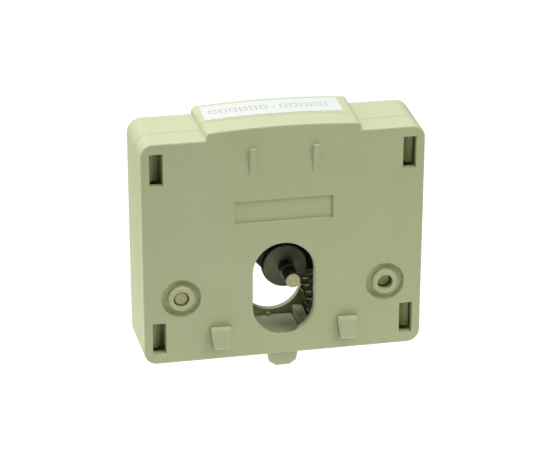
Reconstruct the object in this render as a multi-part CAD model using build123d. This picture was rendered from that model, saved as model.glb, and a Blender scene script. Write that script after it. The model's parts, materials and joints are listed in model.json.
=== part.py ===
from build123d import *
import math
import os

# Key lock cassette of a selector key switch, in millimetres.
# The origin is the centre of the round lock aperture, on the seat that the lock's flange rests on.
# +Y points out of the user side, -Y out of the mounting side, +X to the right seen from the mounting
# side, and +Z up. Helper functions turn a depth behind the mounting face and a height above the
# bottom edge into Y and Z.

# case
CASE_HALF = 38.1            # half width of the mounting face
CASE_HEIGHT = 63.0          # bottom edge to the shoulders
CASE_DEPTH = 20.0           # mounting face to user face
CORNER_R = 3.4
FLARE = 0.588               # each side grows by this from the mounting face to the user face
WALL = 2.0
EDGE_R = 0.5                # rounding of the outer rims
COVER_DEPTH = 7.6           # mounting face to the parting plane
SEAM = 0.16                 # width and depth of the groove along the parting plane
LOCK_HEIGHT = 14.2          # lock axis above the bottom edge
SEAT_DEPTH = 18.2           # mounting face to the lock's seat

# crown on the top edge
CROWN_HALF = 20.7
CROWN_SHOULDER = 2.0        # rise of the crown at its shoulders
CROWN_RISE = 2.85           # rise of the crown at its middle
CROWN_SHOULDER_R = 1.35
CROWN_FOOT_R = 0.4

# lock aperture and the stadium window opposite it
APERTURE_R = 8.4
SEAT_R = 12.5               # round recess that takes the lock's flange
PAD_R = 14.0                # thickened wall behind the seat
PAD_DEPTH = 16.2            # mounting face to the inside of the pad
WINDOW_R = 8.45
WINDOW_RISE = 9.75          # distance between the window's two arc centres
WINDOW_EDGE = 0.35          # broken edge of the window

# features of the mounting face
SLOT_X = 34.0
SLOT_W = 3.6
SLOT_H = 8.85
SLOT_HEIGHTS = (7.5, 55.7)
PANEL_W = 26.65
PANEL_H = 6.4
PANEL_HEIGHT = 42.0
PANEL_SINK = 0.6
RIB_X = 8.5
RIB_W = 1.5
RIB_TOP = 59.9
RIB_LENGTH = 8.2
RIB_PROUD = 1.0
HOOK_X = 17.5
HOOK_TOP_W = 5.5
HOOK_FOOT_W = 3.8
HOOK_TOP = 9.6
HOOK_FOOT = 3.6
HOOK_PROUD = 2.1
HOOK_BEVEL = 0.45
HOOK_GROOVE = 0.2           # width and depth of the fine groove round a hook's root

# captive screws and their bosses
SCREW_X = 27.95
SCREW_HEIGHT = 18.75
SCREW_R = 1.75
SCREW_LENGTH = 14.5
SCREW_HEAD_R = 3.2
SCREW_HEAD_H = 2.2
SCREW_HEAD_ROUND = 0.7
SCREW_POINT = 0.1           # chamfer of the screw's tip
CROSS_HALF = 1.9            # half length, half width and depth of the cross recess
CROSS_SLIT = 0.42
CROSS_DEPTH = 1.3
SCREW_TIP_LEFT = 0.1        # depth of each tip behind the mounting face
SCREW_TIP_RIGHT = 1.6
SCREW_HOLE_R = 2.13
MOAT_IN = 3.4                # ring-shaped groove round a boss, with slightly sloping walls
MOAT_OUT = 5.4
MOAT_DEPTH = 1.2
MOAT_DRAFT = 0.12           # how far each wall leans in over the groove's depth
BOSS_PROUD = 0.5            # how far a boss stands out of the mounting face
BOSS_EDGE = 0.3
WEB = 1.6                   # mounting face to the inside of the boss's web
BOSS_R = 4.6
BOSS_BORE_R = 3.05
BOSS_END = 8.4
WELL_R = 5.0
WELL_BORE_R = 3.6
WELL_FLOOR = 10.0
WELL_WEB = 1.5
RETAINER_R = 2.8
RETAINER_T = 0.6
RETAINER_FROM_TIP = 6.1     # tip of the screw to the front of its retaining ring
RETAINER_NECK = 1.3

# snap arms and catches
ARM_IN = 34.0
ARM_OUT = 35.7
ARM_H = 8.2
ARM_TIP = 3.4
BARB_X = 32.9
BARB_BACK = 5.6
BARB_NOSE = 0.9             # depth from the barb's widest point to its back
CATCH_RIB = 1.5
CATCH_X = 33.4
CATCH_TOP = 5.7
CATCH_END = 7.3

# lever, roller and drive pin
PIVOT_X = -7.5
PIVOT_HEIGHT = 30.5
PIN_X = 3.15
PIN_HEIGHT = 19.9
LEVER_FRONT = 14.3
LEVER_T = 1.1
LEVER_END_R = 6.35
LEVER_PIVOT_R = 4.25
LEVER_ARM = 5.05            # half width of the arm where it meets the round end
EAR_RIGHT = 12.6            # far edge of the lever's ear
EAR_FOOT = 17.9
EAR_R = 1.2
ROLLER_R = 6.1
ROLLER_FRONT = 13.1
ROLLER_T = 1.05
ROLLER_BORE = 1.6
ROLLER_EDGE = 0.2
PIN_R = 2.0
PIN_NECK_R = 1.55
PIN_TIP = 2.9
PIN_SHOULDER = 13.02
PIN_TAIL = 15.9
PIN_GROOVE_R = 1.6
PIN_EDGE = 0.12             # chamfer of a pin's free end
CLIP_T = 0.5
CLIP_PLAY = 0.06            # room on each side of a clip in its groove
PIN_CLIP_R = 2.7
PIVOT_R = 1.5
PIVOT_BORE = 1.53
BUSH_R = 2.6
BUSH_FRONT = 13.2
BUSH_END = 15.9
PIVOT_BOSS_R = 3.6
PIVOT_BOSS_TOP = 16.0
WASHER_R = 3.3
WASHER_FRONT = 12.55
WASHER_T = 0.6
PIVOT_CLIP_R = 2.9
PIVOT_CLIP_FRONT = 11.95
PIVOT_GROOVE_R = 1.1
PIVOT_TIP = 11.3

# tension spring from the drive pin to its anchor
SPRING_DEPTH = 9.0
SPRING_R = 2.2              # mean radius
WIRE_R = 0.3
SPRING_TURNS = 5.5
COIL_TOP = (8.1, 19.3)      # X and height of the coil's two ends on its axis
COIL_FOOT = (11.1, 7.5)
EYE_GAP = 0.06              # clearance of an eye round its pin
ANCHOR_X = 12.1
ANCHOR_HEIGHT = 4.1
ANCHOR_R = 0.9
ANCHOR_HEAD_R = 1.4
ANCHOR_HEAD_T = 0.6
ANCHOR_TIP = 7.2
ANCHOR_BOSS_R = 2.1
ANCHOR_BOSS_TOP = 12.0

# latch slide, its tongue and its two springs
TONGUE_HALF = 4.3
TONGUE_END_HALF = 3.75
TONGUE_FRONT = 0.95
TONGUE_T = 1.9
TONGUE_CORNER = 2.9         # depth below the bottom edge where the tongue's corners start
TONGUE_DROP = 4.2
TONGUE_FOOT_HALF = 1.9
TONGUE_BEVEL = 0.4
SLIDE_HALF = 5.5
SLIDE_FRONT = 2.3
SLIDE_BACK = 15.9
SLIDE_FOOT = 2.2
SLIDE_TOP = 4.5
CROSSBAR_HALF = 16.2
CROSSBAR_BACK = 6.1
SKIN = 0.65                 # wall left in front of the tongue
GAP = 0.3                   # clearance round the tongue
RAIL_IN = 5.8
RAIL_OUT = 8.3
RAIL_FRONT = 6.4
RAIL_TOP = 6.85
LATCH_SPRING_X = 14.0
LATCH_SPRING_DEPTH = 4.3
LATCH_SPRING_R = 1.3
LATCH_WIRE_R = 0.2
LATCH_TURNS = 6
LATCH_STUB_R = 0.8
LATCH_STUB_H = 1.6
PIP_X = -1.1                # small round pip on the slide's far edge
PIP_R = 0.6
PIP_RISE = 0.35             # the pip's centre above the slide's top
PIP_DEPTH = 15.3
SHELF_IN = 11.6
SHELF_OUT = 16.4
SHELF_HEIGHT = 12.6
SHELF_T = 1.5
NIB_X = -0.4
NIB_W = 0.9
NIB_H = 0.9
NIB_FRONT = 0.35

# label on the crown
LABEL_LEFT = -19.4
LABEL_RIGHT = 17.9
LABEL_FRONT = 8.6
LABEL_BACK = 18.3
LABEL_T = 0.12

OVER = 1.0                  # overshoot of a cutting tool


def y_at(depth):
    """Y of a point this far behind the mounting face."""
    return depth - SEAT_DEPTH


def z_at(height):
    """Z of a point this far above the case's bottom edge."""
    return height - LOCK_HEIGHT


def block(x0, x1, depth0, depth1, height0, height1):
    """Box between two X, two depths and two heights."""
    centre = ((x0 + x1) / 2, y_at((depth0 + depth1) / 2), z_at((height0 + height1) / 2))
    return Pos(*centre) * Box(x1 - x0, depth1 - depth0, height1 - height0)


def rod(x, height, radius, depth0, depth1):
    """Cylinder along Y between two depths."""
    middle = (x, y_at((depth0 + depth1) / 2), z_at(height))
    return Pos(*middle) * Rot(90, 0, 0) * Cylinder(radius, depth1 - depth0)


def tube(x, height, outer, inner, depth0, depth1):
    """Hollow cylinder along Y."""
    return rod(x, height, outer, depth0, depth1) - rod(x, height, inner, depth0 - OVER, depth1 + OVER)


def upright(depth):
    """Plane parallel to the mounting face at a depth, with local X and Y along X and Z."""
    return Plane(origin=(0, y_at(depth), 0), x_dir=(1, 0, 0), z_dir=(0, -1, 0))


def prism(sketch, depth0, depth1):
    """Extrude a sketch drawn in X and Z from one depth to another."""
    return extrude(upright(depth1) * sketch, depth1 - depth0)


def flare_at(depth):
    """How far the drafted case stands outside its front outline at a depth."""
    return FLARE * depth / CASE_DEPTH


def outline(grow):
    """Outline of the case in X and Z, offset outwards by grow: a rounded plate with a crown."""
    half = CASE_HALF + grow
    foot = z_at(0) - grow
    shoulder = z_at(CASE_HEIGHT) + grow
    crown = CROWN_HALF + grow
    with BuildSketch() as sketch:
        with BuildLine():
            Polyline((-crown, shoulder), (-half, shoulder), (-half, foot), (half, foot),
                     (half, shoulder), (crown, shoulder), (crown, shoulder + CROWN_SHOULDER))
            ThreePointArc((crown, shoulder + CROWN_SHOULDER), (0, shoulder + CROWN_RISE),
                          (-crown, shoulder + CROWN_SHOULDER))
            Line((-crown, shoulder + CROWN_SHOULDER), (-crown, shoulder))
        make_face()
        corners = [v for v in sketch.vertices() if abs(abs(v.X) - half) < 0.01]
        fillet(corners, CORNER_R + grow)
        tops = [v for v in sketch.vertices() if v.Y > shoulder + CROWN_SHOULDER - 0.01]
        fillet(tops, CROWN_SHOULDER_R)
        feet = [v for v in sketch.vertices()
                if abs(abs(v.X) - crown) < 0.01 and abs(v.Y - shoulder) < 0.01]
        fillet(feet, CROWN_FOOT_R)
    return sketch.sketch


def drafted(depth0, depth1, inset=0.0):
    """Slice of the drafted case between two depths, inset from its outer surface."""
    front = upright(depth0) * outline(flare_at(depth0) - inset)
    back = upright(depth1) * outline(flare_at(depth1) - inset)
    return loft([front, back], ruled=True)


def seam_groove():
    """Fine groove round the case at the parting plane."""
    low = COVER_DEPTH - SEAM / 2
    high = COVER_DEPTH + SEAM / 2
    return drafted(low, high, -OVER) - drafted(low - OVER, high + OVER, SEAM)


def stadium(radius, rise):
    """Upright stadium whose lower arc is centred on the lock axis."""
    return Pos(0, rise / 2) * Rot(0, 0, 90) * SlotCenterToCenter(rise, 2 * radius)


def window_edge():
    """Cutting tool that breaks the window's front edge."""
    wide = upright(0) * stadium(WINDOW_R + WINDOW_EDGE, WINDOW_RISE)
    narrow = upright(WINDOW_EDGE) * stadium(WINDOW_R, WINDOW_RISE)
    return loft([wide, narrow], ruled=True)


def mirrored(x):
    """The two positions of a feature that the case has on both sides."""
    return (-x, x)


def wedge_rib(x):
    """Thin rib that stands proud at its top and fades out downwards."""
    foot = RIB_TOP - RIB_LENGTH
    side = make_face(Polyline((y_at(OVER), z_at(RIB_TOP)), (y_at(-RIB_PROUD), z_at(RIB_TOP)),
                              (y_at(0), z_at(foot)), (y_at(OVER), z_at(foot)), close=True))
    plane = Plane(origin=(x - RIB_W / 2, 0, 0), x_dir=(0, 1, 0), z_dir=(1, 0, 0))
    return extrude(plane * side, RIB_W)


def hook_outline(grow):
    """Trapezoid of a hook, wider at its top, about its own centre line."""
    top = HOOK_TOP_W / 2 + grow
    foot = HOOK_FOOT_W / 2 + grow
    return make_face(Polyline((-top, z_at(HOOK_TOP + grow)), (top, z_at(HOOK_TOP + grow)),
                              (foot, z_at(HOOK_FOOT - grow)), (-foot, z_at(HOOK_FOOT - grow)),
                              close=True))


def hook(x):
    """Tapered hook with bevelled edges."""
    body = prism(Pos(x, 0) * hook_outline(0), -HOOK_PROUD, OVER)
    front = body.faces().sort_by(Axis.Y)[0]
    return chamfer(front.edges(), HOOK_BEVEL)


def hook_groove(x):
    """Fine groove in the face round a hook's root."""
    ring = hook_outline(HOOK_GROOVE) - hook_outline(0)
    return prism(Pos(x, 0) * ring, -OVER, HOOK_GROOVE)


def moat(x):
    """Ring-shaped groove round a screw boss."""
    section = make_face(Polyline((MOAT_IN, 0), (MOAT_IN + MOAT_DRAFT, MOAT_DEPTH),
                                 (MOAT_OUT - MOAT_DRAFT, MOAT_DEPTH), (MOAT_OUT, 0), close=True))
    ring = revolve(section, Axis.Y)
    return Pos(x, y_at(0), z_at(SCREW_HEIGHT)) * ring


def boss_face(x):
    """Front end of a screw boss, standing a little proud with a broken edge."""
    end = rod(x, SCREW_HEIGHT, MOAT_IN, -BOSS_PROUD, WEB / 2)
    return chamfer(end.faces().sort_by(Axis.Y)[0].edges(), BOSS_EDGE)


def catch(x, height):
    """Rib and ledge inside the cover that a snap arm's barb hooks over."""
    side = math.copysign(1, x)
    edge = SLOT_X - SLOT_W / 2
    half = SLOT_H / 2
    low = height - half
    high = height + half
    xs = sorted((side * (edge - CATCH_RIB), side * edge))
    rib = block(*xs, WALL / 2, CATCH_END, low, high)
    xs = sorted((side * (edge - CATCH_RIB / 2), side * CATCH_X))
    return rib + block(*xs, CATCH_TOP, CATCH_END, low, high)


def tongue_channel():
    """Relief in the cover's plate and bottom wall in which the latch tongue runs."""
    half = TONGUE_HALF + GAP
    back = TONGUE_FRONT + TONGUE_T + GAP
    plate = block(-half, half, SKIN, WALL + OVER, -OVER, LOCK_HEIGHT - WINDOW_R + OVER)
    wall = block(-half, half, SKIN, back, -OVER, WALL + OVER)
    return plate + wall


def make_front_cover():
    """Mounting-side cover: a tray whose plate carries the window, slots, hooks, ribs and bosses."""
    body = drafted(0, COVER_DEPTH)
    rim = body.faces().sort_by(Axis.Y)[0].edges()
    body = fillet(rim, EDGE_R)
    body -= drafted(WALL, COVER_DEPTH + OVER, WALL)
    for x in mirrored(SLOT_X):
        for height in SLOT_HEIGHTS:
            body += catch(x, height)
    for x in mirrored(SCREW_X):
        body += rod(x, SCREW_HEIGHT, BOSS_R, WALL / 2, BOSS_END)
    for x in mirrored((SHELF_IN + SHELF_OUT) / 2):
        half = (SHELF_OUT - SHELF_IN) / 2
        body += block(x - half, x + half, WALL / 2, LATCH_SPRING_DEPTH + half, SHELF_HEIGHT,
                      SHELF_HEIGHT + SHELF_T)
    body -= prism(stadium(WINDOW_R, WINDOW_RISE), -OVER, WALL + OVER)
    body -= window_edge()
    for x in mirrored(SLOT_X):
        for height in SLOT_HEIGHTS:
            body -= block(x - SLOT_W / 2, x + SLOT_W / 2, -OVER, WALL + OVER / 2,
                          height - SLOT_H / 2, height + SLOT_H / 2)
    for x in mirrored(SCREW_X):
        body -= moat(x)
        body += boss_face(x)
        body -= rod(x, SCREW_HEIGHT, SCREW_HOLE_R, -OVER, WEB + OVER)
        body -= rod(x, SCREW_HEIGHT, BOSS_BORE_R, WEB, BOSS_END + OVER)
    body -= block(-PANEL_W / 2, PANEL_W / 2, -OVER, PANEL_SINK, PANEL_HEIGHT - PANEL_H / 2,
                  PANEL_HEIGHT + PANEL_H / 2)
    body -= tongue_channel()
    lip = LOCK_HEIGHT - WINDOW_R
    body += block(NIB_X - NIB_W / 2, NIB_X + NIB_W / 2, NIB_FRONT, SKIN, lip - NIB_H / 2, lip + NIB_H / 2)
    for x in mirrored(HOOK_X):
        body -= hook_groove(x)
        body += hook(x)
    for x in mirrored(RIB_X):
        body += wedge_rib(x)
    return body - seam_groove()


def snap_arm(side, height):
    """Springy arm with a barb that holds the cover, on the side of that sign."""
    points = [(ARM_OUT, CASE_DEPTH - WALL / 2), (ARM_OUT, ARM_TIP), (ARM_IN + GAP, ARM_TIP),
              (BARB_X, BARB_BACK - BARB_NOSE), (BARB_X, BARB_BACK), (ARM_IN, BARB_BACK),
              (ARM_IN, CASE_DEPTH - WALL / 2)]
    face = make_face(Polyline(*[(side * px, y_at(depth)) for px, depth in points], close=True))
    level = z_at(height - ARM_H / 2)
    return extrude(Pos(0, 0, level) * face, ARM_H, dir=(0, 0, 1))


def rail(x):
    """Rail that guides one side of the latch slide."""
    half = (RAIL_OUT - RAIL_IN) / 2
    root = block(x - half, x + half, COVER_DEPTH, PAD_DEPTH + OVER / 2, WALL / 2, RAIL_TOP)
    return root + block(x - half, x + half, RAIL_FRONT, COVER_DEPTH + OVER, WALL + GAP, RAIL_TOP)


def make_rear_housing():
    """User-side shell with the lock aperture, snap arms, screw wells, rails and pin bosses."""
    body = drafted(COVER_DEPTH, CASE_DEPTH)
    rim = body.faces().sort_by(Axis.Y)[-1].edges()
    body = fillet(rim, EDGE_R)
    body -= drafted(COVER_DEPTH - OVER, CASE_DEPTH - WALL, WALL)
    body += rod(0, LOCK_HEIGHT, PAD_R, PAD_DEPTH, CASE_DEPTH - WALL / 2)
    for x in mirrored((RAIL_IN + RAIL_OUT) / 2):
        body += rail(x)
    for x in mirrored(SCREW_X):
        body += rod(x, SCREW_HEIGHT, WELL_R, WELL_FLOOR - WELL_WEB, CASE_DEPTH - WALL / 2)
    body += rod(PIVOT_X, PIVOT_HEIGHT, PIVOT_BOSS_R, PIVOT_BOSS_TOP, CASE_DEPTH - WALL / 2)
    body += rod(ANCHOR_X, ANCHOR_HEIGHT, ANCHOR_BOSS_R, ANCHOR_BOSS_TOP, CASE_DEPTH - WALL / 2)
    for side in (-1, 1):
        for height in SLOT_HEIGHTS:
            body += snap_arm(side, height)
    body -= rod(0, LOCK_HEIGHT, SEAT_R, SEAT_DEPTH, CASE_DEPTH + OVER)
    body -= rod(0, LOCK_HEIGHT, APERTURE_R, PAD_DEPTH - OVER, CASE_DEPTH)
    for x in mirrored(SCREW_X):
        body -= rod(x, SCREW_HEIGHT, WELL_BORE_R, WELL_FLOOR, CASE_DEPTH + OVER)
        body -= rod(x, SCREW_HEIGHT, SCREW_HOLE_R, WELL_FLOOR - WELL_WEB - OVER, WELL_FLOOR + OVER)
    body -= rod(PIVOT_X, PIVOT_HEIGHT, PIVOT_R, PIVOT_BOSS_TOP - OVER, CASE_DEPTH - WALL / 2)
    body -= rod(ANCHOR_X, ANCHOR_HEIGHT, ANCHOR_R, ANCHOR_BOSS_TOP - OVER, CASE_DEPTH - WALL / 2)
    return body - seam_groove()


def crown_strip(depth, lift0, lift1):
    """Thin strip along the crown's top at a depth, between two lifts off its surface."""
    grow = flare_at(depth)
    level = z_at(CASE_HEIGHT) + grow
    crown = CROWN_HALF + grow
    sag = CROWN_RISE - CROWN_SHOULDER
    radius = (crown ** 2 + sag ** 2) / (2 * sag)
    centre = level + CROWN_RISE - radius

    def point(x, lift):
        return (x, centre + math.sqrt((radius + lift) ** 2 - x ** 2))

    middle = (LABEL_LEFT + LABEL_RIGHT) / 2
    edges = [ThreePointArc(point(LABEL_LEFT, lift0), point(middle, lift0), point(LABEL_RIGHT, lift0)),
             Line(point(LABEL_RIGHT, lift0), point(LABEL_RIGHT, lift1)),
             ThreePointArc(point(LABEL_RIGHT, lift1), point(middle, lift1), point(LABEL_LEFT, lift1)),
             Line(point(LABEL_LEFT, lift1), point(LABEL_LEFT, lift0))]
    return upright(depth) * make_face(edges)


def make_label():
    """Paper label that follows the crown."""
    front = crown_strip(LABEL_FRONT, 0, LABEL_T)
    back = crown_strip(LABEL_BACK, 0, LABEL_T)
    return loft([front, back], ruled=True)


def lever_outline():
    """Plate with a round end at the drive pin, a square ear beside it and an arm to its pivot."""
    end = Vector(PIN_X, z_at(PIN_HEIGHT))
    pivot = Vector(PIVOT_X, z_at(PIVOT_HEIGHT))
    along = (pivot - end).normalized()
    across = Vector(-along.Y, along.X)
    corners = [end + across * LEVER_ARM, pivot + across * LEVER_PIVOT_R,
               pivot - across * LEVER_PIVOT_R, end - across * LEVER_ARM]
    arm = make_face(Polyline(*[(c.X, c.Y) for c in corners], close=True))
    ear_top = PIN_HEIGHT + LEVER_END_R
    ear = Rectangle(2 * (EAR_RIGHT - PIN_X), ear_top - EAR_FOOT)
    ear = Pos(PIN_X, z_at((ear_top + EAR_FOOT) / 2)) * fillet(ear.vertices(), EAR_R)
    ear = ear & Pos(PIN_X + EAR_RIGHT, 0) * Rectangle(2 * EAR_RIGHT, 2 * CASE_HEIGHT)
    round_ends = Pos(end.X, end.Y) * Circle(LEVER_END_R) + Pos(pivot.X, pivot.Y) * Circle(LEVER_PIVOT_R)
    return arm + ear + round_ends


def make_cam_lever():
    """Flat lever that the lock's cam swings."""
    plate = prism(lever_outline(), LEVER_FRONT, LEVER_FRONT + LEVER_T)
    plate -= rod(PIN_X, PIN_HEIGHT, PIN_NECK_R, LEVER_FRONT - OVER, LEVER_FRONT + LEVER_T + OVER)
    return plate - rod(PIVOT_X, PIVOT_HEIGHT, BUSH_R, LEVER_FRONT - OVER, LEVER_FRONT + LEVER_T + OVER)


def make_follower_roller():
    """Disc that rolls on the lock's cam."""
    disc = tube(PIN_X, PIN_HEIGHT, ROLLER_R, ROLLER_BORE, ROLLER_FRONT, ROLLER_FRONT + ROLLER_T)
    rims = disc.edges().filter_by(GeomType.CIRCLE).sort_by(SortBy.RADIUS)[-2:]
    return chamfer(rims, ROLLER_EDGE)


def make_drive_pin():
    """Shouldered pin from the lever forward to the window, with a groove for the spring's hook."""
    body = rod(PIN_X, PIN_HEIGHT, PIN_R, PIN_TIP, PIN_SHOULDER)
    tip = body.faces().sort_by(Axis.Y)[0].edges()
    body = chamfer(tip, PIN_EDGE)
    body += rod(PIN_X, PIN_HEIGHT, PIN_NECK_R, PIN_SHOULDER - OVER, PIN_TAIL)
    groove = tube(PIN_X, PIN_HEIGHT, PIN_R + OVER, PIN_GROOVE_R, SPRING_DEPTH - 2 * WIRE_R,
                  SPRING_DEPTH + 2 * WIRE_R)
    return body - groove


def make_pin_clip():
    """Push-on ring that holds the drive pin in the lever."""
    back = LEVER_FRONT + LEVER_T
    return tube(PIN_X, PIN_HEIGHT, PIN_CLIP_R, PIN_NECK_R, back, back + CLIP_T)


def make_lever_pivot_pin():
    """Pin pressed into the housing on which the lever swings, with a groove for its clip."""
    body = rod(PIVOT_X, PIVOT_HEIGHT, PIVOT_R, PIVOT_TIP, CASE_DEPTH - WALL / 2)
    tip = body.faces().sort_by(Axis.Y)[0].edges()
    body = chamfer(tip, PIN_EDGE)
    groove = tube(PIVOT_X, PIVOT_HEIGHT, PIVOT_R + OVER, PIVOT_GROOVE_R, PIVOT_CLIP_FRONT - CLIP_PLAY,
                  PIVOT_CLIP_FRONT + CLIP_T + CLIP_PLAY)
    return body - groove


def make_lever_bush():
    """Bearing bush pressed into the lever."""
    return tube(PIVOT_X, PIVOT_HEIGHT, BUSH_R, PIVOT_BORE, BUSH_FRONT, BUSH_END)


def make_pivot_washer():
    """Washer between the bush and the clip."""
    return tube(PIVOT_X, PIVOT_HEIGHT, WASHER_R, PIVOT_BORE, WASHER_FRONT, WASHER_FRONT + WASHER_T)


def make_pivot_clip():
    """Open retaining clip in the pivot pin's groove."""
    ring = tube(PIVOT_X, PIVOT_HEIGHT, PIVOT_CLIP_R, PIVOT_GROOVE_R, PIVOT_CLIP_FRONT,
                PIVOT_CLIP_FRONT + CLIP_T)
    mouth = block(PIVOT_X - PIVOT_GROOVE_R, PIVOT_X + PIVOT_GROOVE_R, PIVOT_CLIP_FRONT - OVER,
                  PIVOT_CLIP_FRONT + CLIP_T + OVER, PIVOT_HEIGHT, PIVOT_HEIGHT + 2 * PIVOT_CLIP_R)
    return ring - mouth


def coil(radius, wire, turns, length):
    """Open coil along its own +Z from the origin."""
    path = Helix(pitch=length / turns, height=length, radius=radius)
    start = Plane(origin=path @ 0, z_dir=path % 0)
    return sweep(start * Circle(wire), path=path)


def spring_eye(centre, radius, coil_end):
    """Round eye of wire about a pin, with a straight leg to the coil's end."""
    mean = radius + EYE_GAP + WIRE_R
    ring = Pos(centre) * Rot(90, 0, 0) * Torus(mean, WIRE_R)
    out = (coil_end - centre).normalized()
    start = centre + out * mean
    leg = Plane(origin=start, z_dir=out) * Cylinder(WIRE_R, (coil_end - start).length,
                                                    align=(Align.CENTER, Align.CENTER, Align.MIN))
    return ring + leg + Pos(coil_end) * Sphere(WIRE_R)


def make_tension_spring():
    """Stretched coil spring with a hook on the drive pin and an eye on its anchor."""
    top = Vector(COIL_TOP[0], y_at(SPRING_DEPTH), z_at(COIL_TOP[1]))
    foot = Vector(COIL_FOOT[0], y_at(SPRING_DEPTH), z_at(COIL_FOOT[1]))
    axis = (top - foot).normalized()
    right = Vector(axis.Z, 0, -axis.X)
    frame = Plane(origin=foot, x_dir=right, z_dir=axis)
    body = frame * coil(SPRING_R, WIRE_R, SPRING_TURNS, (top - foot).length)
    pin = Vector(PIN_X, y_at(SPRING_DEPTH), z_at(PIN_HEIGHT))
    anchor = Vector(ANCHOR_X, y_at(SPRING_DEPTH), z_at(ANCHOR_HEIGHT))
    body += spring_eye(pin, PIN_GROOVE_R, top - right * SPRING_R)
    return body + spring_eye(anchor, ANCHOR_R, foot + right * SPRING_R)


def make_spring_anchor_pin():
    """Headed pin in the housing that holds the spring's lower eye."""
    body = rod(ANCHOR_X, ANCHOR_HEIGHT, ANCHOR_R, ANCHOR_TIP, CASE_DEPTH - WALL / 2)
    return body + rod(ANCHOR_X, ANCHOR_HEIGHT, ANCHOR_HEAD_R, ANCHOR_TIP, ANCHOR_TIP + ANCHOR_HEAD_T)


def tongue_outline():
    """Tongue of the latch slide: slightly tapering sides, then cut corners."""
    right = [(TONGUE_HALF, z_at(SLIDE_TOP)), (TONGUE_HALF, z_at(0)),
             (TONGUE_END_HALF, z_at(-TONGUE_CORNER)), (TONGUE_FOOT_HALF, z_at(-TONGUE_DROP))]
    left = [(-x, z) for x, z in reversed(right)]
    return make_face(Polyline(*right, *left, close=True))


def make_latch_slide():
    """Sprung slide: a floor plate between the rails, a crossbar for the springs and a tongue."""
    body = block(-SLIDE_HALF, SLIDE_HALF, SLIDE_FRONT, SLIDE_BACK, SLIDE_FOOT, SLIDE_TOP)
    body += block(-CROSSBAR_HALF, CROSSBAR_HALF, SLIDE_FRONT, CROSSBAR_BACK, SLIDE_FOOT, SLIDE_TOP)
    tongue = prism(tongue_outline(), TONGUE_FRONT, TONGUE_FRONT + TONGUE_T)
    body += chamfer(tongue.faces().sort_by(Axis.Y)[0].edges(), TONGUE_BEVEL)
    for x in mirrored(LATCH_SPRING_X):
        stub = (x, y_at(LATCH_SPRING_DEPTH), z_at(SLIDE_TOP + LATCH_STUB_H / 2))
        body += Pos(*stub) * Cylinder(LATCH_STUB_R, LATCH_STUB_H)
    return body + Pos(PIP_X, y_at(PIP_DEPTH), z_at(SLIDE_TOP + PIP_RISE)) * Sphere(PIP_R)


def make_latch_spring(x):
    """Compression spring between the slide's crossbar and the cover's shelf."""
    height = SHELF_HEIGHT - SLIDE_TOP - 2 * (LATCH_WIRE_R + EYE_GAP)
    body = coil(LATCH_SPRING_R, LATCH_WIRE_R, LATCH_TURNS, height)
    return Pos(x, y_at(LATCH_SPRING_DEPTH), z_at(SLIDE_TOP + LATCH_WIRE_R + EYE_GAP)) * body


def make_fixing_screw(x, tip):
    """Captive screw with a cross recess in its head and a neck for its retaining ring."""
    head = tip + SCREW_LENGTH
    body = rod(x, SCREW_HEIGHT, SCREW_R, tip, head + SCREW_HEAD_H / 2)
    edge = body.faces().sort_by(Axis.Y)[0].edges()
    body = chamfer(edge, SCREW_POINT)
    cap = rod(x, SCREW_HEIGHT, SCREW_HEAD_R, head, head + SCREW_HEAD_H)
    rim = cap.faces().sort_by(Axis.Y)[-1].edges()
    body += fillet(rim, SCREW_HEAD_ROUND)
    top = head + SCREW_HEAD_H
    for wide, high in ((CROSS_HALF, CROSS_SLIT), (CROSS_SLIT, CROSS_HALF)):
        body -= block(x - wide, x + wide, top - CROSS_DEPTH, top + OVER, SCREW_HEIGHT - high,
                      SCREW_HEIGHT + high)
    neck = tip + RETAINER_FROM_TIP
    return body - tube(x, SCREW_HEIGHT, SCREW_R + OVER, RETAINER_NECK, neck, neck + RETAINER_T)


def make_screw_retainer(x, tip):
    """Ring in the screw's neck that keeps it in the case."""
    front = tip + RETAINER_FROM_TIP
    return tube(x, SCREW_HEIGHT, RETAINER_R, RETAINER_NECK, front, front + RETAINER_T)


PARTS = {
    "front_cover": make_front_cover(),
    "rear_housing": make_rear_housing(),
    "label": make_label(),
    "cam_lever": make_cam_lever(),
    "follower_roller": make_follower_roller(),
    "drive_pin": make_drive_pin(),
    "pin_clip": make_pin_clip(),
    "lever_pivot_pin": make_lever_pivot_pin(),
    "lever_bush": make_lever_bush(),
    "pivot_washer": make_pivot_washer(),
    "pivot_clip": make_pivot_clip(),
    "tension_spring": make_tension_spring(),
    "spring_anchor_pin": make_spring_anchor_pin(),
    "latch_slide": make_latch_slide(),
    "latch_spring_left": make_latch_spring(-LATCH_SPRING_X),
    "latch_spring_right": make_latch_spring(LATCH_SPRING_X),
    "fixing_screw_left": make_fixing_screw(-SCREW_X, SCREW_TIP_LEFT),
    "fixing_screw_right": make_fixing_screw(SCREW_X, SCREW_TIP_RIGHT),
    "screw_retainer_left": make_screw_retainer(-SCREW_X, SCREW_TIP_LEFT),
    "screw_retainer_right": make_screw_retainer(SCREW_X, SCREW_TIP_RIGHT),
}

os.makedirs("parts", exist_ok=True)
for name, shape in PARTS.items():
    export_step(shape, f"parts/{name}.step")
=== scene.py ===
"""Looks of the key lock cassette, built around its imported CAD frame.

Lengths are in metres, or in the unit that a comment gives. X points right and Z up on the mounting
face, which looks towards -Y, and the lock's axis is the Y axis.
"""

import json
import math

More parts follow.
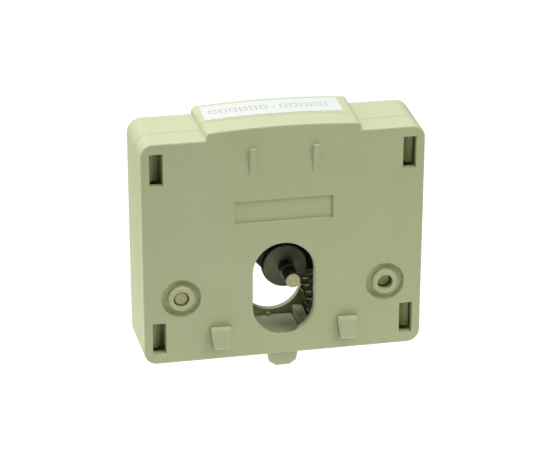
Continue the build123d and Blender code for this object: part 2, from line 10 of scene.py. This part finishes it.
import bmesh
import bpy
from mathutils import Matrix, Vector


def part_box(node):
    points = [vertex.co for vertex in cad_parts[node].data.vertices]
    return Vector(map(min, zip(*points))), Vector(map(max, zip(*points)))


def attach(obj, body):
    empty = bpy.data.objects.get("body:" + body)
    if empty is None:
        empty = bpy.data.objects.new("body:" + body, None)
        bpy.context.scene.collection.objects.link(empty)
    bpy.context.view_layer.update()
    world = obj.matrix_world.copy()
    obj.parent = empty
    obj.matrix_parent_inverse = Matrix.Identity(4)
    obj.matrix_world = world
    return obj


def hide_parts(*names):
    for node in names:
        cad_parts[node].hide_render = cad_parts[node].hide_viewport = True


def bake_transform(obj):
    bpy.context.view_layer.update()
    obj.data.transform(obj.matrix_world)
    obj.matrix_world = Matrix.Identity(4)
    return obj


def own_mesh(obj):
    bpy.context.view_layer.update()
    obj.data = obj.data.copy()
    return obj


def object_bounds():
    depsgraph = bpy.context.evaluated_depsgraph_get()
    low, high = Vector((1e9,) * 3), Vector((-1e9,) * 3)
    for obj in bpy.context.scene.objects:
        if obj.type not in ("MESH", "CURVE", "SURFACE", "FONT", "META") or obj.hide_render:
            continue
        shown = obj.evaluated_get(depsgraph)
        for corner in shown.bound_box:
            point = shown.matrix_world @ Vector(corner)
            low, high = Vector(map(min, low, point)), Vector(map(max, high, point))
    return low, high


MM = 0.001

# camera: its aim on the mounting face, its angles, its distance and its lens
AIM = (-4.777, 20.733)         # X and Z, in mm
YAW = math.radians(11.73)
PITCH = math.radians(22.95)
DISTANCE = 0.57296
LENS = 145.95
SENSOR = 36.0

# studio: the sky that lights the object, the backdrop that the camera sees, and a white floor
SKY = (0.93, 0.96, 1.0)
SKY_LIGHT = 0.09
BACKDROP = 1.1
FLOOR_DROP = 0.12              # from the object's foot to the floor
FLOOR_HALF = 0.3
FLOOR_WHITE = 0.9
FLOOR_ROUGH = 0.9
FLOOR_GLOW = 0.38

# lamps: name, place, target, width and height, power in watts, colour
LAMPS = (
    ("top", (-0.1, 0.06, 0.6), (0, 0, 0), (0.8, 0.8), 5.7, (0.88, 0.88, 1.0)),
    ("left", (-0.6, 0.12, 0.15), (0, 0, 0.02), (0.5, 0.6), 2.3, (1.0, 0.98, 0.86)),
    ("front", (0.5, -0.46, 0.48), (0, 0, 0.02), (0.4, 0.4), 2.6, (1.0, 0.96, 0.72)),
)

# linear colours
CASE = (0.56, 0.60, 0.36)
LATCH = (0.54, 0.575, 0.36)
ROLLER = (0.36, 0.41, 0.27)
PAPER = (0.70, 0.735, 0.665)
INK = (0.33, 0.35, 0.31)
PIN = (0.66, 0.68, 0.40)
PIVOT = (0.66, 0.64, 0.54)
CLIP = (0.5, 0.49, 0.43)
SCREW = (0.60, 0.60, 0.36)
SPRING = (0.62, 0.60, 0.50)
BLACKENED = (0.05, 0.053, 0.045)
GRIME = (0.085, 0.088, 0.072)
BARE_STEEL = (0.42, 0.40, 0.32)
BRASS = (0.72, 0.55, 0.24)
TARNISH = (0.45, 0.33, 0.15)

# shading
WHOLE = (0.3, 0.7)             # the range that a noise texture covers
PATCHES = (0.35, 0.7)          # its upper parts, for patches and for sparser ones
SPARSE = (0.35, 0.75)
EDGE_COSINES = (0.995, 0.8)    # bevelled to flat normal, where an edge starts and where it is full
PIN_LIT_TIP = 0.15 * MM          # how far from the drive pin's tip the painted shade on its shaft begins, and how soon that painted shade is full
PIN_SHADE_FADE = 0.3 * MM

# springs, in mm
POINTS_PER_TURN = 12
NURBS_SHRINK = 0.955           # radius of a cubic spline over that of its points, at 12 to a turn
SPRING_WIRE = 0.3              # radius of the tension spring's wire, and of its coil at the wire's middle
SPRING_RADIUS = 2.2
SPRING_TURNS = 5.5
COIL_TOP = (-4.0, 15.2)        # X and Z of the coil's ends on its axis, from the anchor pin
COIL_FOOT = (-1.0, 3.4)
PIN_EYE = 1.96                 # mean radius of the eyes
ANCHOR_EYE = 1.26
PIN_ARC = (-10, 280)           # start and sweep of the eyes in degrees, from +X towards +Z
ANCHOR_ARC = (150, -270)
ANCHOR_BEND = (0.2, 1.75)      # X and Z of the bend over the anchor pin, from that pin
FOOT_BEND = (1.6, -0.5)        # bends at the coil's ends: to the right of its axis, and along it
TOP_BENDS = ((-1.5, 0.75), (-2.3, 1.1))
LATCH_WIRE = 0.2
LATCH_TURNS = 6
LATCH_CLOSING = 0.06           # how far the turns crowd towards both ends, as a share of the length

# thread of the fixing screws, in mm
THREAD_PITCH = 0.6
THREAD_ROOT = 1.68
THREAD_CREST = 1.97
THREAD_SUNK = 0.08             # how deep the ridge's foot lies in the shank
THREAD_FOOT = 0.22             # half widths of the ridge
THREAD_FLAT = 0.04
TIP_GAP = 0.45                 # from the screw's tip, and from the retaining ring
RING_GAP = 0.4
THREAD_FACETS = 40
THREAD_FADE = 20               # facets in which the ridge rises at either end

# empty boxes and one dash printed on the label, in mm
MARKS = 12
MARK_PITCH = 2.73
FIRST_MARK = 2.9               # label's left edge to the middle of the first mark
MARK_BACK = 0.1                # how far the row lies behind the label's middle
MARK_SIZE = (2.1, 2.5)
MARK_LINE = 0.42
DASH_PLACE = 6                 # the seventh mark is the dash
DASH_HALF = 0.6


# ---------------------------------------------------------------- node helpers

class Shader:
    """A Principled material and short calls that add nodes to it."""

    def __init__(self, name):
        self.material = bpy.data.materials.new(name)
        self.material.use_nodes = True
        self.tree = self.material.node_tree
        self.bsdf = self.tree.nodes["Principled BSDF"]
        self.coords = self.node("ShaderNodeTexCoord").outputs["Object"]

    def node(self, kind, **settings):
        made = self.tree.nodes.new(kind)
        for key, value in settings.items():
            setattr(made, key, value)
        return made

    def link(self, source, target):
        self.tree.links.new(source, target)

    def set(self, **values):
        """Sets the shader's own sockets."""
        for key, value in values.items():
            self.bsdf.inputs[key].default_value = value

    def plug(self, socket, source):
        self.link(source, self.bsdf.inputs[socket])

    def feed(self, made, operands):
        """Gives a node's first inputs their values or links."""
        for socket, value in zip(made.inputs, operands):
            if isinstance(value, (int, float, tuple, Vector)):
                socket.default_value = value
            else:
                self.link(value, socket)

    def math(self, operation, *operands):
        made = self.node("ShaderNodeMath", operation=operation)
        self.feed(made, operands)
        return made.outputs[0]

    def vector(self, operation, *operands):
        made = self.node("ShaderNodeVectorMath", operation=operation)
        self.feed(made, operands)
        return made.outputs["Value" if operation in ("LENGTH", "DOT_PRODUCT") else "Vector"]

    def noise(self, size, detail, rough=0.5):
        """Noise with features of about this size, from 0 to 1."""
        made = self.node("ShaderNodeTexNoise")
        made.inputs["Scale"].default_value = 1 / size
        made.inputs["Detail"].default_value = detail
        made.inputs["Roughness"].default_value = rough
        self.link(self.coords, made.inputs["Vector"])
        return made.outputs[0]

    def spread(self, value, span, to=(0.0, 1.0)):
        """Maps one range to another, clamped."""
        made = self.node("ShaderNodeMapRange", clamp=True)
        made.inputs["From Min"].default_value, made.inputs["From Max"].default_value = span
        made.inputs["To Min"].default_value, made.inputs["To Max"].default_value = to
        self.link(value, made.inputs["Value"])
        return made.outputs[0]

    def mix(self, share, a, b):
        """Mixes two colours, each a tuple or a socket."""
        made = self.node("ShaderNodeMix", data_type="RGBA")
        self.link(share, made.inputs[0])
        colours = [s for s in made.inputs if s.type == "RGBA"]
        for socket, value in zip(colours, (a, b)):
            if isinstance(value, tuple):
                socket.default_value = (*value, 1)
            else:
                self.link(value, socket)
        return [s for s in made.outputs if s.type == "RGBA"][0]

    def edges(self, radius):
        """(rounded normal, mask that is high on edges) for edges within this radius."""
        bevel = self.node("ShaderNodeBevel", samples=6)
        bevel.inputs["Radius"].default_value = radius
        face = self.node("ShaderNodeNewGeometry").outputs["Normal"]
        same = self.vector("DOT_PRODUCT", bevel.outputs[0], face)
        return bevel.outputs[0], self.spread(same, EDGE_COSINES)

    def bump(self, height, distance, normal=None):
        made = self.node("ShaderNodeBump")
        made.inputs["Distance"].default_value = distance
        self.link(height, made.inputs["Height"])
        if normal is not None:
            self.link(normal, made.inputs["Normal"])
        return made.outputs[0]

    def rings(self, centre, pitch):
        """Waves from -1 to 1 round an axis along Y through a point."""
        offset = self.vector("SUBTRACT", self.coords, Vector(centre))
        flat = self.vector("MULTIPLY", offset, (1.0, 0.0, 1.0))
        return self.math("SINE", self.math("MULTIPLY", self.vector("LENGTH", flat), 2 * math.pi / pitch))

    def split(self):
        made = self.node("ShaderNodeSeparateXYZ")
        self.link(self.coords, made.inputs[0])
        return made.outputs


def tinted(colour, factor):
    """A colour scaled by one factor, or by one per channel."""
    factors = factor if isinstance(factor, tuple) else (factor,) * 3
    return tuple(c * f for c, f in zip(colour, factors))


# ---------------------------------------------------------------- materials

def moulded_plastic(name, colour, rough=0.5):
    """Fine-textured moulded plastic with faint mottling, and edges painted lighter: partly polish wear,
    partly a painted highlight.
    """
    s = Shader(name)
    rounded, edge = s.edges(radius=0.16 * MM)
    cloud = s.noise(size=14 * MM, detail=4)
    grain = s.noise(size=0.32 * MM, detail=2)
    rub = s.noise(size=2.5 * MM, detail=3)
    waves = s.bump(s.noise(size=9 * MM, detail=2), 0.03 * MM, rounded)
    dull = tinted(colour, (0.975, 0.98, 0.965))
    polished_and_highlit = tinted(colour, (1.16, 1.16, 1.2))
    body = s.mix(s.spread(cloud, WHOLE), dull, tinted(colour, 1.02))
    body = s.mix(s.spread(grain, PATCHES, to=(0, 0.16)), body, tinted(colour, 0.86))
    # edges painted lighter and bluer: polish wear together with a painted highlight along the rims
    body = s.mix(s.math("MULTIPLY", edge, 0.4), body, polished_and_highlit)
    s.plug("Base Color", body)
    s.plug("Roughness", s.spread(rub, WHOLE, to=(rough, rough + 0.09)))
    s.plug("Normal", s.bump(grain, 0.014 * MM, waves))
    s.set(IOR=1.5)
    return s.material


def roller_plastic(name, colour, centre):
    """Dark moulded plastic with dust and with fine turning marks round an axis."""
    s = Shader(name)
    rounded, edge = s.edges(radius=0.12 * MM)
    rings = s.rings(centre, pitch=0.42 * MM)
    dust = s.noise(size=1.6 * MM, detail=5, rough=0.6)
    body = s.mix(s.spread(dust, SPARSE), colour, tinted(colour, (1.5, 1.5, 1.45)))
    # painted highlight: the disc's edges are painted twice as light, standing in for light caught on its
    # rims
    body = s.mix(s.math("MULTIPLY", edge, 0.5), body, tinted(colour, 2.0))
    s.plug("Base Color", body)
    s.plug("Roughness", s.spread(dust, WHOLE, to=(0.42, 0.6)))
    s.plug("Normal", s.bump(s.math("MULTIPLY", rings, 0.5), 0.006 * MM, rounded))
    return s.material


def plated_steel(name, colour, rough=0.3, centre=None, bright_end=None):
    """Turned, zinc-plated steel under a dull film.

    With a centre it shows turning lines round that axis. With a bright end, a Y in metres, it is
    painted dark behind that Y: painted shade for a shaft that lies in shadow.
    """
    s = Shader(name)
    rounded, edge = s.edges(radius=0.08 * MM)
    stain = s.noise(size=0.9 * MM, detail=5, rough=0.65)
    lines = s.noise(size=0.14 * MM, detail=2)
    body = s.mix(s.spread(stain, SPARSE), colour, tinted(colour, (0.66, 0.63, 0.55)))
    body = s.mix(s.math("MULTIPLY", edge, 0.5), body, tinted(colour, 1.15))
    if bright_end is not None:
        # painted shade: behind the lit end the steel is painted almost black, standing in for the shadow on
        # the pin's shaft
        painted_shade = s.spread(s.split()[1], (bright_end, bright_end + PIN_SHADE_FADE))
        body = s.mix(painted_shade, body, tinted(colour, 0.12))
    if centre is not None:
        lines = s.math("MULTIPLY_ADD", s.rings(centre, pitch=0.12 * MM), 0.3, lines)
    s.plug("Base Color", body)
    s.plug("Roughness", s.spread(stain, WHOLE, to=(rough, rough + 0.18)))
    s.plug("Normal", s.bump(lines, 0.006 * MM, rounded))
    s.set(Metallic=0.55)
    return s.material


def drawn_wire(name, colour):
    """Spring wire: bright drawn steel with a darker oiled film in patches."""
    s = Shader(name)
    film = s.noise(size=0.7 * MM, detail=4, rough=0.6)
    streaks = s.noise(size=0.1 * MM, detail=2)
    s.plug("Base Color", s.mix(s.spread(film, PATCHES), colour, tinted(colour, (0.62, 0.6, 0.54))))
    s.plug("Roughness", s.spread(film, WHOLE, to=(0.22, 0.4)))
    s.plug("Normal", s.bump(streaks, 0.003 * MM))
    s.set(Metallic=1.0)
    return s.material


def blackened_steel(name):
    """Sheet steel with a dark finish, worn bright along its cut edges."""
    s = Shader(name)
    rounded, edge = s.edges(radius=0.14 * MM)
    grime = s.noise(size=2.2 * MM, detail=5, rough=0.6)
    rub = s.noise(size=0.8 * MM, detail=3)
    grain = s.noise(size=0.2 * MM, detail=3)
    worn = s.math("MULTIPLY", edge, s.spread(rub, (0.35, 0.6)))
    body = s.mix(s.spread(grime, WHOLE), BLACKENED, GRIME)
    s.plug("Base Color", s.mix(worn, body, BARE_STEEL))
    s.plug("Metallic", s.spread(worn, (0, 1), to=(0.55, 1.0)))
    s.plug("Roughness", s.spread(grime, WHOLE, to=(0.38, 0.52)))
    s.plug("Normal", s.bump(grain, 0.008 * MM, rounded))
    return s.material


def turned_brass(name):
    """Turned brass, slightly tarnished."""
    s = Shader(name)
    film = s.noise(size=0.8 * MM, detail=4, rough=0.6)
    s.plug("Base Color", s.mix(s.spread(film, PATCHES), BRASS, TARNISH))
    s.plug("Roughness", s.spread(film, WHOLE, to=(0.25, 0.42)))
    s.set(Metallic=1.0)
    return s.material


def printed_row(s, low, high):
    """How much ink lies on each point of the label: a row of empty boxes, with a dash in one place."""
    x, y, _ = s.split()
    from_first = s.math("SUBTRACT", x, low.x + FIRST_MARK * MM)
    along = s.math("ADD", s.math("DIVIDE", from_first, MARK_PITCH * MM), 0.5)
    across = s.math("ABSOLUTE", s.math("SUBTRACT", s.math("FRACT", along), 0.5))
    dx = s.math("MULTIPLY", across, MARK_PITCH * MM)
    dy = s.math("ABSOLUTE", s.math("SUBTRACT", y, (low.y + high.y) / 2 + MARK_BACK * MM))

    def within(half_width, half_height):
        narrow = s.math("LESS_THAN", dx, half_width * MM)
        return s.math("MULTIPLY", narrow, s.math("LESS_THAN", dy, half_height * MM))

    half_w, half_h = MARK_SIZE[0] / 2, MARK_SIZE[1] / 2
    box = s.math("SUBTRACT", within(half_w, half_h), within(half_w - MARK_LINE, half_h - MARK_LINE))
    tolerance = 0.1
    is_dash = s.math("COMPARE", s.math("FLOOR", along), DASH_PLACE, tolerance)
    dash = s.math("MULTIPLY", is_dash, within(DASH_HALF, MARK_LINE / 2))
    boxes = s.math("MULTIPLY", s.math("SUBTRACT", 1.0, is_dash), box)
    inside = s.math("MULTIPLY", s.math("GREATER_THAN", along, 0.0), s.math("LESS_THAN", along, MARKS))
    return s.math("MULTIPLY", s.math("ADD", dash, boxes), inside)


def label_paper(name, low, high):
    """White adhesive paper with fibre and a faded print."""
    s = Shader(name)
    fibre = s.noise(size=0.5 * MM, detail=5, rough=0.7)
    paper = s.mix(s.spread(fibre, PATCHES), PAPER, tinted(PAPER, (0.965, 0.965, 0.95)))
    fading = s.spread(s.noise(size=0.6 * MM, detail=3), (0.35, 0.65), to=(0.3, 0.9))
    ink = s.math("MULTIPLY", printed_row(s, low, high), fading)
    s.plug("Base Color", s.mix(ink, paper, INK))
    s.plug("Roughness", s.spread(fibre, WHOLE, to=(0.6, 0.75)))
    s.plug("Normal", s.bump(fibre, 0.008 * MM))
    return s.material


# ---------------------------------------------------------------- meshes

def piece(name, mesh, material):
    """A smooth-shaded object with one material."""
    made = bpy.data.objects.new(name, mesh)
    bpy.context.scene.collection.objects.link(made)
    mesh.materials.clear()
    mesh.materials.append(material)
    for polygon in mesh.polygons:
        polygon.use_smooth = True
    return made


def wire(name, points, radius, material):
    """A smooth round wire along control points, as a mesh."""
    curve = bpy.data.curves.new(name, "CURVE")
    curve.dimensions = "3D"
    curve.bevel_depth = radius
    curve.bevel_resolution = 3
    curve.use_fill_caps = True
    spline = curve.splines.new("NURBS")
    spline.points.add(len(points) - 1)
    for target, point in zip(spline.points, points):
        target.co = (*point, 1)
    spline.order_u = 4
    spline.use_endpoint_u = True
    spline.resolution_u = 3
    holder = bpy.data.objects.new(name, curve)
    bpy.context.scene.collection.objects.link(holder)
    bpy.context.view_layer.update()
    mesh = bpy.data.meshes.new_from_object(holder.evaluated_get(bpy.context.evaluated_depsgraph_get()))
    bpy.data.objects.remove(holder)
    return piece(name, mesh, material)


def centre_of(node):
    low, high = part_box(node)
    return (low + high) / 2


def coil_points(foot, top, right, front, radius, turns, closing=0.0):
    """Points of a coil round the line from foot to top, starting on its right."""
    steps = round(turns * POINTS_PER_TURN)
    points = []
    for i in range(steps + 1):
        turn = 2 * math.pi * i / POINTS_PER_TURN
        share = i / steps
        rise = share - closing * math.sin(2 * math.pi * share)
        out = (right * math.cos(turn) + front * math.sin(turn)) * radius / NURBS_SHRINK
        points.append(foot + (top - foot) * rise + out)
    return points


def eye_points(centre, radius, start, sweep):
    """Points of a round eye in the plane of X and Z; angles are in degrees, from +X towards +Z."""
    steps = round(abs(sweep) * POINTS_PER_TURN / 360)
    angles = [math.radians(start + sweep * i / steps) for i in range(steps + 1)]
    return [centre + Vector((math.cos(a), 0, math.sin(a))) * radius / NURBS_SHRINK for a in angles]


def make_tension_spring(material):
    """Extension spring between the anchor pin and the drive pin, as one fixed wire in its rest shape."""
    anchor = centre_of("spring_anchor_pin")
    pin = centre_of("drive_pin")
    anchor.y = pin.y = centre_of("tension_spring").y

    def from_anchor(place):
        return anchor + Vector((place[0], 0, place[1])) * MM

    foot = from_anchor(COIL_FOOT)
    top = from_anchor(COIL_TOP)
    axis = (top - foot).normalized()
    right = Vector((axis.z, 0, -axis.x))
    front = Vector((0, -1, 0))

    def beside(end, out, along):
        return end + (right * out + axis * along) * MM

    points = eye_points(anchor, ANCHOR_EYE * MM, *ANCHOR_ARC)
    points += [from_anchor(ANCHOR_BEND), beside(foot, *FOOT_BEND)]
    points += coil_points(foot, top, right, front, SPRING_RADIUS * MM, SPRING_TURNS)
    points += [beside(top, *bend) for bend in TOP_BENDS]
    points += eye_points(pin, PIN_EYE * MM, *PIN_ARC)
    spring = wire("tension_spring_wire", points, SPRING_WIRE * MM, material)
    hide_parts("tension_spring")
    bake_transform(spring)


def make_latch_spring(side, material):
    """Compression spring over the slide's stub, in its rest shape, carried with the case."""
    node = "latch_spring_" + side
    low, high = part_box(node)
    middle = (low + high) / 2
    radius = (high.x - low.x) / 2 - LATCH_WIRE * MM
    foot = Vector((middle.x, middle.y, low.z + LATCH_WIRE * MM))
    top = Vector((middle.x, middle.y, high.z - LATCH_WIRE * MM))
    right = Vector((1, 0, 0))
    back = Vector((0, 1, 0))
    points = coil_points(foot, top, right, back, radius, LATCH_TURNS, LATCH_CLOSING)
    spring = wire(node + "_wire", points, LATCH_WIRE * MM, material)
    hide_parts(node)
    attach(spring, "case")
    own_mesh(spring)


def make_thread(side, material):
    """Helical thread on a fixing screw's shank, from its tip back to the retaining ring."""
    low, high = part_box("fixing_screw_" + side)
    middle = (low + high) / 2
    ring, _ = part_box("screw_retainer_" + side)
    start = low.y + TIP_GAP * MM
    end = ring.y - RING_GAP * MM
    steps = round((end - start) / (THREAD_PITCH * MM) * THREAD_FACETS)
    foot = THREAD_ROOT - THREAD_SUNK
    mesh = bmesh.new()
    rows = []
    for i in range(steps + 1):
        turn = 2 * math.pi * i / THREAD_FACETS
        out = Vector((math.cos(turn), 0, math.sin(turn)))
        along = start + (end - start) * i / steps
        fade = min(1.0, i / THREAD_FADE, (steps - i) / THREAD_FADE)
        crest = THREAD_ROOT + (THREAD_CREST - THREAD_ROOT) * fade
        profile = ((foot, -THREAD_FOOT), (crest, -THREAD_FLAT), (crest, THREAD_FLAT), (foot, THREAD_FOOT))
        rows.append([mesh.verts.new(Vector((middle.x, along + offset * MM, middle.z)) + out * r * MM)
                     for r, offset in profile])
    corners = len(rows[0])
    for here, there in zip(rows, rows[1:]):
        for a in range(corners):
            b = (a + 1) % corners
            mesh.faces.new((here[a], here[b], there[b], there[a]))
    mesh.faces.new(rows[0][::-1])
    mesh.faces.new(rows[-1])
    bmesh.ops.recalc_face_normals(mesh, faces=mesh.faces)
    data = bpy.data.meshes.new("thread_" + side)
    mesh.to_mesh(data)
    mesh.free()
    thread = piece("thread_" + side, data, material)
    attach(thread, "screw_" + side)


# ---------------------------------------------------------------- finishes of the sub-parts

def paint(material, *names):
    """Gives CAD nodes a material."""
    for name in names:
        data = frame["nodes"][name].data
        data.materials.clear()
        data.materials.append(material)


def finish_case():
    label_low, label_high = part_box("label")
    paint(moulded_plastic("case_plastic", CASE), "front_cover", "rear_housing")
    paint(moulded_plastic("latch_plastic", LATCH, rough=0.4), "latch_slide")
    paint(label_paper("label_paper", label_low, label_high), "label")


def finish_lever():
    """Lever, disc, drive pin and pivot."""
    axis = centre_of("drive_pin")
    pin_tip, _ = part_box("drive_pin")
    pin_steel = plated_steel("pin_steel", PIN, rough=0.42, centre=axis, bright_end=pin_tip.y + PIN_LIT_TIP)
    paint(roller_plastic("roller_plastic", ROLLER, axis), "follower_roller")
    paint(blackened_steel("lever_steel"), "cam_lever")
    paint(pin_steel, "drive_pin")
    paint(plated_steel("pivot_steel", PIVOT), "lever_pivot_pin", "pivot_washer", "spring_anchor_pin")
    paint(plated_steel("clip_steel", CLIP, rough=0.25), "pin_clip", "pivot_clip",
          "screw_retainer_left", "screw_retainer_right")
    paint(turned_brass("bush_brass"), "lever_bush")


def finish_screw(side):
    screw = plated_steel("screw_steel_" + side, SCREW, rough=0.45, centre=centre_of("fixing_screw_" + side))
    paint(screw, "fixing_screw_" + side)
    make_thread(side, screw)


# ---------------------------------------------------------------- stage

def area_light(name, at, towards, size, power, colour):
    data = bpy.data.lights.new(name, "AREA")
    data.shape = "RECTANGLE"
    data.size, data.size_y = size
    data.energy = power
    data.color = colour
    lamp = bpy.data.objects.new(name, data)
    lamp.location = at
    lamp.rotation_euler = (Vector(towards) - Vector(at)).to_track_quat("-Z", "Y").to_euler()
    bpy.context.scene.collection.objects.link(lamp)


def make_world():
    """Pure white behind the object, and a weaker pale sky as fill light."""
    world = bpy.data.worlds.new("studio")
    bpy.context.scene.world = world
    world.use_nodes = True
    tree = world.node_tree
    seen = tree.nodes["Background"]
    seen.inputs["Color"].default_value = (1, 1, 1, 1)
    seen.inputs["Strength"].default_value = BACKDROP
    fill = tree.nodes.new("ShaderNodeBackground")
    fill.inputs["Color"].default_value = (*SKY, 1)
    fill.inputs["Strength"].default_value = SKY_LIGHT
    path = tree.nodes.new("ShaderNodeLightPath")
    choose = tree.nodes.new("ShaderNodeMixShader")
    tree.links.new(path.outputs["Is Camera Ray"], choose.inputs[0])
    tree.links.new(fill.outputs[0], choose.inputs[1])
    tree.links.new(seen.outputs[0], choose.inputs[2])
    tree.links.new(choose.outputs[0], tree.nodes["World Output"].inputs["Surface"])


def make_floor(level):
    """Plain white floor, low enough for the object's shadow to spread out and vanish."""
    signs = ((-1, -1), (1, -1), (1, 1), (-1, 1))
    mesh = bpy.data.meshes.new("floor")
    mesh.from_pydata([(x * FLOOR_HALF, y * FLOOR_HALF, level) for x, y in signs], [], [(0, 1, 2, 3)])
    floor = bpy.data.objects.new("floor", mesh)
    bpy.context.scene.collection.objects.link(floor)
    s = Shader("floor_white")
    s.bsdf.inputs["Base Color"].default_value = (FLOOR_WHITE, FLOOR_WHITE, FLOOR_WHITE, 1)
    s.bsdf.inputs["Emission Color"].default_value = (1, 1, 1, 1)
    s.bsdf.inputs["Emission Strength"].default_value = FLOOR_GLOW
    s.set(Roughness=FLOOR_ROUGH)
    mesh.materials.append(s.material)


def make_camera():
    mount = next(m for m in frame["record"]["mounts"] if m["name"] == "mounting_face")
    aim = Vector((AIM[0] * MM, mount["pos_m"][1], AIM[1] * MM))
    forward = Vector((math.sin(YAW) * math.cos(PITCH), math.cos(YAW) * math.cos(PITCH), -math.sin(PITCH)))
    data = bpy.data.cameras.new("camera")
    data.lens = LENS
    data.sensor_width = SENSOR
    camera = bpy.data.objects.new("camera", data)
    camera.location = aim - forward * DISTANCE
    camera.rotation_euler = forward.to_track_quat("-Z", "Y").to_euler()
    bpy.context.scene.collection.objects.link(camera)
    bpy.context.scene.camera = camera


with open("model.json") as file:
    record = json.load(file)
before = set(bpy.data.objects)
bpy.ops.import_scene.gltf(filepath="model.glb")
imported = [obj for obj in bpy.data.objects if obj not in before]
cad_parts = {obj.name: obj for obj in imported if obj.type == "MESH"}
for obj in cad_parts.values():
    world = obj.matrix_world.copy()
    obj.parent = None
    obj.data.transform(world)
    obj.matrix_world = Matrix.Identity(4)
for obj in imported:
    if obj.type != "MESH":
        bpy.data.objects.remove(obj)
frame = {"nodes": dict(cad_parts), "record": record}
cad_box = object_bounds()

bpy.context.scene.view_settings.view_transform = "Standard"
make_camera()
make_world()
make_floor(cad_box[0].z - FLOOR_DROP)
for lamp_values in LAMPS:
    area_light(*lamp_values)

finish_case()
finish_lever()
spring_wire = drawn_wire("spring_wire", SPRING)
for side in ("left", "right"):
    finish_screw(side)
    make_latch_spring(side, spring_wire)
make_tension_spring(spring_wire)
